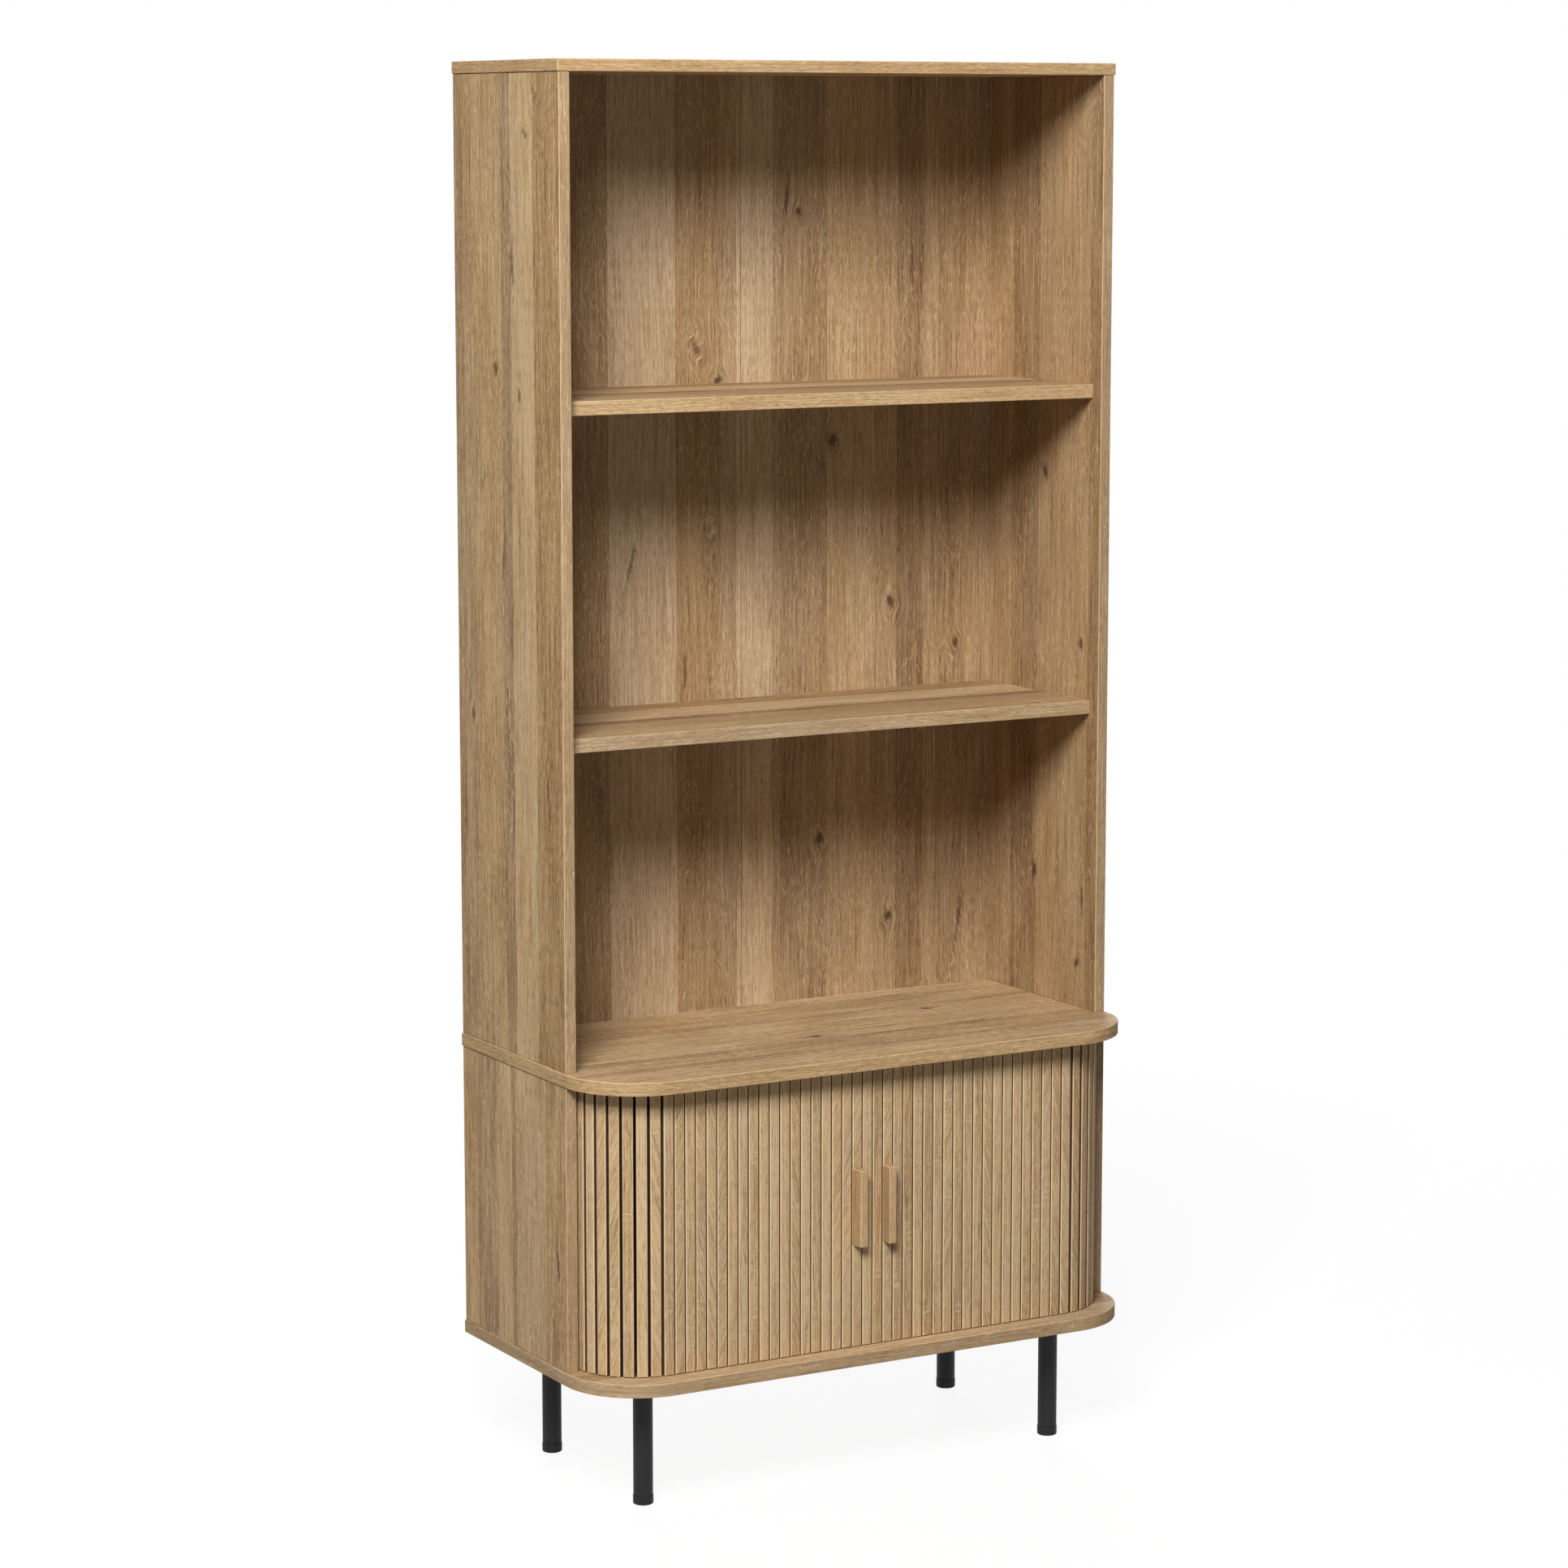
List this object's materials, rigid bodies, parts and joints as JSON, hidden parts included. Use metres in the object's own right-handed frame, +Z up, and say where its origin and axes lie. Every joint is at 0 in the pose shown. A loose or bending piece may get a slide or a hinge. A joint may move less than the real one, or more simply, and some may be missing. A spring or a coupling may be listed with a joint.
{
  "type": "bookcase with sliding doors",
  "caption": "Tall bookcase with open bays above a cabinet with rounded front corners and slatted doors that slide round them, on round legs.",
  "frame": {"origin": "on the floor, midway between the ends and midway between the rounded boards' front edge and the back", "axes": "+Z up, the open front and the doors face -Y, +X to the right seen from the front"},
  "size_m": [0.8, 0.394, 1.7955],
  "materials": {
    "oak_laminate": "satin",
    "slat_oak": "satin",
    "back_board": "satin",
    "handle_lacquer": "satin",
    "black_metal": "satin",
    "black_plastic": "matte",
    "brown_plastic": "matte"
  },
  "bodies": {
    "carcass": {"top_board": "oak_laminate", "mid_board": "oak_laminate", "bottom_board": "oak_laminate", "upper_back_left": "back_board", "upper_back_right": "back_board", "upper_back_joining_strip": "back_board", "lower_back": "back_board", "shelf_lower": "oak_laminate", "shelf_upper": "oak_laminate", "upper_side_left": "oak_laminate", "lower_side_left": "oak_laminate", "guide_panel_left": "back_board", "cam_fitting_front_left": "brown_plastic", "cam_fitting_back_left": "brown_plastic", "upper_side_right": "oak_laminate", "lower_side_right": "oak_laminate", "guide_panel_right": "back_board", "cam_fitting_front_right": "brown_plastic", "cam_fitting_back_right": "brown_plastic", "leg_front_left": "black_metal", "foot_glide_front_left": "black_plastic", "leg_front_right": "black_metal", "foot_glide_front_right": "black_plastic", "leg_back_left": "black_metal", "foot_glide_back_left": "black_plastic", "leg_back_right": "black_metal", "foot_glide_back_right": "black_plastic"},
    "door_left": {"door_left_front_slats": "slat_oak", "door_left_handle": "handle_lacquer"},
    "door_left_slat_14": {"door_left_slat_14": "slat_oak"},
    "door_left_slat_15": {"door_left_slat_15": "slat_oak"},
    "door_left_slat_16": {"door_left_slat_16": "slat_oak"},
    "door_left_slat_17": {"door_left_slat_17": "slat_oak"},
    "door_left_slat_18": {"door_left_slat_18": "slat_oak"},
    "door_left_slat_19": {"door_left_slat_19": "slat_oak"},
    "door_left_corner": {"door_left_corner_slats": "slat_oak"},
    "door_left_slat_22": {"door_left_slat_22": "slat_oak"},
    "door_left_slat_23": {"door_left_slat_23": "slat_oak"},
    "door_left_slat_24": {"door_left_slat_24": "slat_oak"},
    "door_left_slat_25": {"door_left_slat_25": "slat_oak"},
    "door_left_slat_26": {"door_left_slat_26": "slat_oak"},
    "door_left_slat_27": {"door_left_slat_27": "slat_oak"},
    "door_left_tail": {"door_left_tail_slats": "slat_oak"},
    "door_right": {"door_right_front_slats": "slat_oak", "door_right_handle": "handle_lacquer"},
    "door_right_slat_14": {"door_right_slat_14": "slat_oak"},
    "door_right_slat_15": {"door_right_slat_15": "slat_oak"},
    "door_right_slat_16": {"door_right_slat_16": "slat_oak"},
    "door_right_slat_17": {"door_right_slat_17": "slat_oak"},
    "door_right_slat_18": {"door_right_slat_18": "slat_oak"},
    "door_right_slat_19": {"door_right_slat_19": "slat_oak"},
    "door_right_corner": {"door_right_corner_slats": "slat_oak"},
    "door_right_slat_22": {"door_right_slat_22": "slat_oak"},
    "door_right_slat_23": {"door_right_slat_23": "slat_oak"},
    "door_right_slat_24": {"door_right_slat_24": "slat_oak"},
    "door_right_slat_25": {"door_right_slat_25": "slat_oak"},
    "door_right_slat_26": {"door_right_slat_26": "slat_oak"},
    "door_right_slat_27": {"door_right_slat_27": "slat_oak"},
    "door_right_tail": {"door_right_tail_slats": "slat_oak"}
  },
  "joints": [
    {"name": "door_left_slide", "type": "slide", "parent": "carcass", "child": "door_left", "axis": [-1, 0, 0], "range_m": [0, 0.09]},
    {"name": "door_left_slat_14_turn", "type": "hinge", "parent": "carcass", "child": "door_left_slat_14", "pos_m": [-0.24655, 3.47325, 0], "axis": [0, 0, -1], "range_deg": [0, 1.42]},
    {"name": "door_left_slat_15_turn", "type": "hinge", "parent": "carcass", "child": "door_left_slat_15", "pos_m": [-0.25405, 0.24962, 0], "axis": [0, 0, -1], "range_deg": [0, 12.67]},
    {"name": "door_left_slat_16_turn", "type": "hinge", "parent": "carcass", "child": "door_left_slat_16", "pos_m": [-0.26155, 0.05754, 0], "axis": [0, 0, -1], "range_deg": [0, 23.92]},
    {"name": "door_left_slat_17_turn", "type": "hinge", "parent": "carcass", "child": "door_left_slat_17", "pos_m": [-0.26905, -0.0116, 0], "axis": [0, 0, -1], "range_deg": [0, 35.17]},
    {"name": "door_left_slat_18_turn", "type": "hinge", "parent": "carcass", "child": "door_left_slat_18", "pos_m": [-0.27655, -0.04683, 0], "axis": [0, 0, -1], "range_deg": [0, 46.42]},
    {"name": "door_left_slat_19_turn", "type": "hinge", "parent": "carcass", "child": "door_left_slat_19", "pos_m": [-0.28405, -0.0677, 0], "axis": [0, 0, -1], "range_deg": [0, 57.67]},
    {"name": "door_left_corner_turn", "type": "hinge", "parent": "carcass", "child": "door_left_corner", "pos_m": [-0.29061, -0.07961, 0], "axis": [0, 0, -1], "range_deg": [0, 67.5]},
    {"name": "door_left_slat_22_turn", "type": "hinge", "parent": "carcass", "child": "door_left_slat_22", "pos_m": [-0.28915, -0.07866, 0], "axis": [0, 0, -1], "range_deg": [0, 66.08]},
    {"name": "door_left_slat_23_turn", "type": "hinge", "parent": "carcass", "child": "door_left_slat_23", "pos_m": [-0.27432, -0.07116, 0], "axis": [0, 0, -1], "range_deg": [0, 54.83]},
    {"name": "door_left_slat_24_turn", "type": "hinge", "parent": "carcass", "child": "door_left_slat_24", "pos_m": [-0.25071, -0.06366, 0], "axis": [0, 0, -1], "range_deg": [0, 43.58]},
    {"name": "door_left_slat_25_turn", "type": "hinge", "parent": "carcass", "child": "door_left_slat_25", "pos_m": [-0.20971, -0.05616, 0], "axis": [0, 0, -1], "range_deg": [0, 32.33]},
    {"name": "door_left_slat_26_turn", "type": "hinge", "parent": "carcass", "child": "door_left_slat_26", "pos_m": [-0.12427, -0.04866, 0], "axis": [0, 0, -1], "range_deg": [0, 21.08]},
    {"name": "door_left_slat_27_turn", "type": "hinge", "parent": "carcass", "child": "door_left_slat_27", "pos_m": [0.15652, -0.04116, 0], "axis": [0, 0, -1], "range_deg": [0, 9.83]},
    {"name": "door_left_tail_slide", "type": "slide", "parent": "carcass", "child": "door_left_tail", "axis": [0, 1, 0], "range_m": [0, 0.09]},
    {"name": "door_right_slide", "type": "slide", "parent": "carcass", "child": "door_right", "axis": [1, 0, 0], "range_m": [0, 0.09]},
    {"name": "door_right_slat_14_turn", "type": "hinge", "parent": "carcass", "child": "door_right_slat_14", "pos_m": [0.24655, 3.47325, 0], "axis": [0, 0, 1], "range_deg": [0, 1.42]},
    {"name": "door_right_slat_15_turn", "type": "hinge", "parent": "carcass", "child": "door_right_slat_15", "pos_m": [0.25405, 0.24962, 0], "axis": [0, 0, 1], "range_deg": [0, 12.67]},
    {"name": "door_right_slat_16_turn", "type": "hinge", "parent": "carcass", "child": "door_right_slat_16", "pos_m": [0.26155, 0.05754, 0], "axis": [0, 0, 1], "range_deg": [0, 23.92]},
    {"name": "door_right_slat_17_turn", "type": "hinge", "parent": "carcass", "child": "door_right_slat_17", "pos_m": [0.26905, -0.0116, 0], "axis": [0, 0, 1], "range_deg": [0, 35.17]},
    {"name": "door_right_slat_18_turn", "type": "hinge", "parent": "carcass", "child": "door_right_slat_18", "pos_m": [0.27655, -0.04683, 0], "axis": [0, 0, 1], "range_deg": [0, 46.42]},
    {"name": "door_right_slat_19_turn", "type": "hinge", "parent": "carcass", "child": "door_right_slat_19", "pos_m": [0.28405, -0.0677, 0], "axis": [0, 0, 1], "range_deg": [0, 57.67]},
    {"name": "door_right_corner_turn", "type": "hinge", "parent": "carcass", "child": "door_right_corner", "pos_m": [0.29061, -0.07961, 0], "axis": [0, 0, 1], "range_deg": [0, 67.5]},
    {"name": "door_right_slat_22_turn", "type": "hinge", "parent": "carcass", "child": "door_right_slat_22", "pos_m": [0.28915, -0.07866, 0], "axis": [0, 0, 1], "range_deg": [0, 66.08]},
    {"name": "door_right_slat_23_turn", "type": "hinge", "parent": "carcass", "child": "door_right_slat_23", "pos_m": [0.27432, -0.07116, 0], "axis": [0, 0, 1], "range_deg": [0, 54.83]},
    {"name": "door_right_slat_24_turn", "type": "hinge", "parent": "carcass", "child": "door_right_slat_24", "pos_m": [0.25071, -0.06366, 0], "axis": [0, 0, 1], "range_deg": [0, 43.58]},
    {"name": "door_right_slat_25_turn", "type": "hinge", "parent": "carcass", "child": "door_right_slat_25", "pos_m": [0.20971, -0.05616, 0], "axis": [0, 0, 1], "range_deg": [0, 32.33]},
    {"name": "door_right_slat_26_turn", "type": "hinge", "parent": "carcass", "child": "door_right_slat_26", "pos_m": [0.12427, -0.04866, 0], "axis": [0, 0, 1], "range_deg": [0, 21.08]},
    {"name": "door_right_slat_27_turn", "type": "hinge", "parent": "carcass", "child": "door_right_slat_27", "pos_m": [-0.15652, -0.04116, 0], "axis": [0, 0, 1], "range_deg": [0, 9.83]},
    {"name": "door_right_tail_slide", "type": "slide", "parent": "carcass", "child": "door_right_tail", "axis": [0, 1, 0], "range_m": [0, 0.09]}
  ],
  "couplings": [
    {"joint": "door_left_slat_14_turn", "follows": "door_left_slide", "rad_per_m": 0.27553},
    {"joint": "door_left_slat_15_turn", "follows": "door_left_slide", "rad_per_m": 2.4572},
    {"joint": "door_left_slat_16_turn", "follows": "door_left_slide", "rad_per_m": 4.6388},
    {"joint": "door_left_slat_17_turn", "follows": "door_left_slide", "rad_per_m": 6.8205},
    {"joint": "door_left_slat_18_turn", "follows": "door_left_slide", "rad_per_m": 9.0022},
    {"joint": "door_left_slat_19_turn", "follows": "door_left_slide", "rad_per_m": 11.184},
    {"joint": "door_left_corner_turn", "follows": "door_left_slide", "rad_per_m": 13.09},
    {"joint": "door_left_slat_22_turn", "follows": "door_left_slide", "rad_per_m": 12.814},
    {"joint": "door_left_slat_23_turn", "follows": "door_left_slide", "rad_per_m": 10.633},
    {"joint": "door_left_slat_24_turn", "follows": "door_left_slide", "rad_per_m": 8.4511},
    {"joint": "door_left_slat_25_turn", "follows": "door_left_slide", "rad_per_m": 6.2695},
    {"joint": "door_left_slat_26_turn", "follows": "door_left_slide", "rad_per_m": 4.0878},
    {"joint": "door_left_slat_27_turn", "follows": "door_left_slide", "rad_per_m": 1.9061},
    {"joint": "door_left_tail_slide", "follows": "door_left_slide", "ratio": 1},
    {"joint": "door_right_slat_14_turn", "follows": "door_right_slide", "rad_per_m": 0.27553},
    {"joint": "door_right_slat_15_turn", "follows": "door_right_slide", "rad_per_m": 2.4572},
    {"joint": "door_right_slat_16_turn", "follows": "door_right_slide", "rad_per_m": 4.6388},
    {"joint": "door_right_slat_17_turn", "follows": "door_right_slide", "rad_per_m": 6.8205},
    {"joint": "door_right_slat_18_turn", "follows": "door_right_slide", "rad_per_m": 9.0022},
    {"joint": "door_right_slat_19_turn", "follows": "door_right_slide", "rad_per_m": 11.184},
    {"joint": "door_right_corner_turn", "follows": "door_right_slide", "rad_per_m": 13.09},
    {"joint": "door_right_slat_22_turn", "follows": "door_right_slide", "rad_per_m": 12.814},
    {"joint": "door_right_slat_23_turn", "follows": "door_right_slide", "rad_per_m": 10.633},
    {"joint": "door_right_slat_24_turn", "follows": "door_right_slide", "rad_per_m": 8.4511},
    {"joint": "door_right_slat_25_turn", "follows": "door_right_slide", "rad_per_m": 6.2695},
    {"joint": "door_right_slat_26_turn", "follows": "door_right_slide", "rad_per_m": 4.0878},
    {"joint": "door_right_slat_27_turn", "follows": "door_right_slide", "rad_per_m": 1.9061},
    {"joint": "door_right_tail_slide", "follows": "door_right_slide", "ratio": 1}
  ]
}
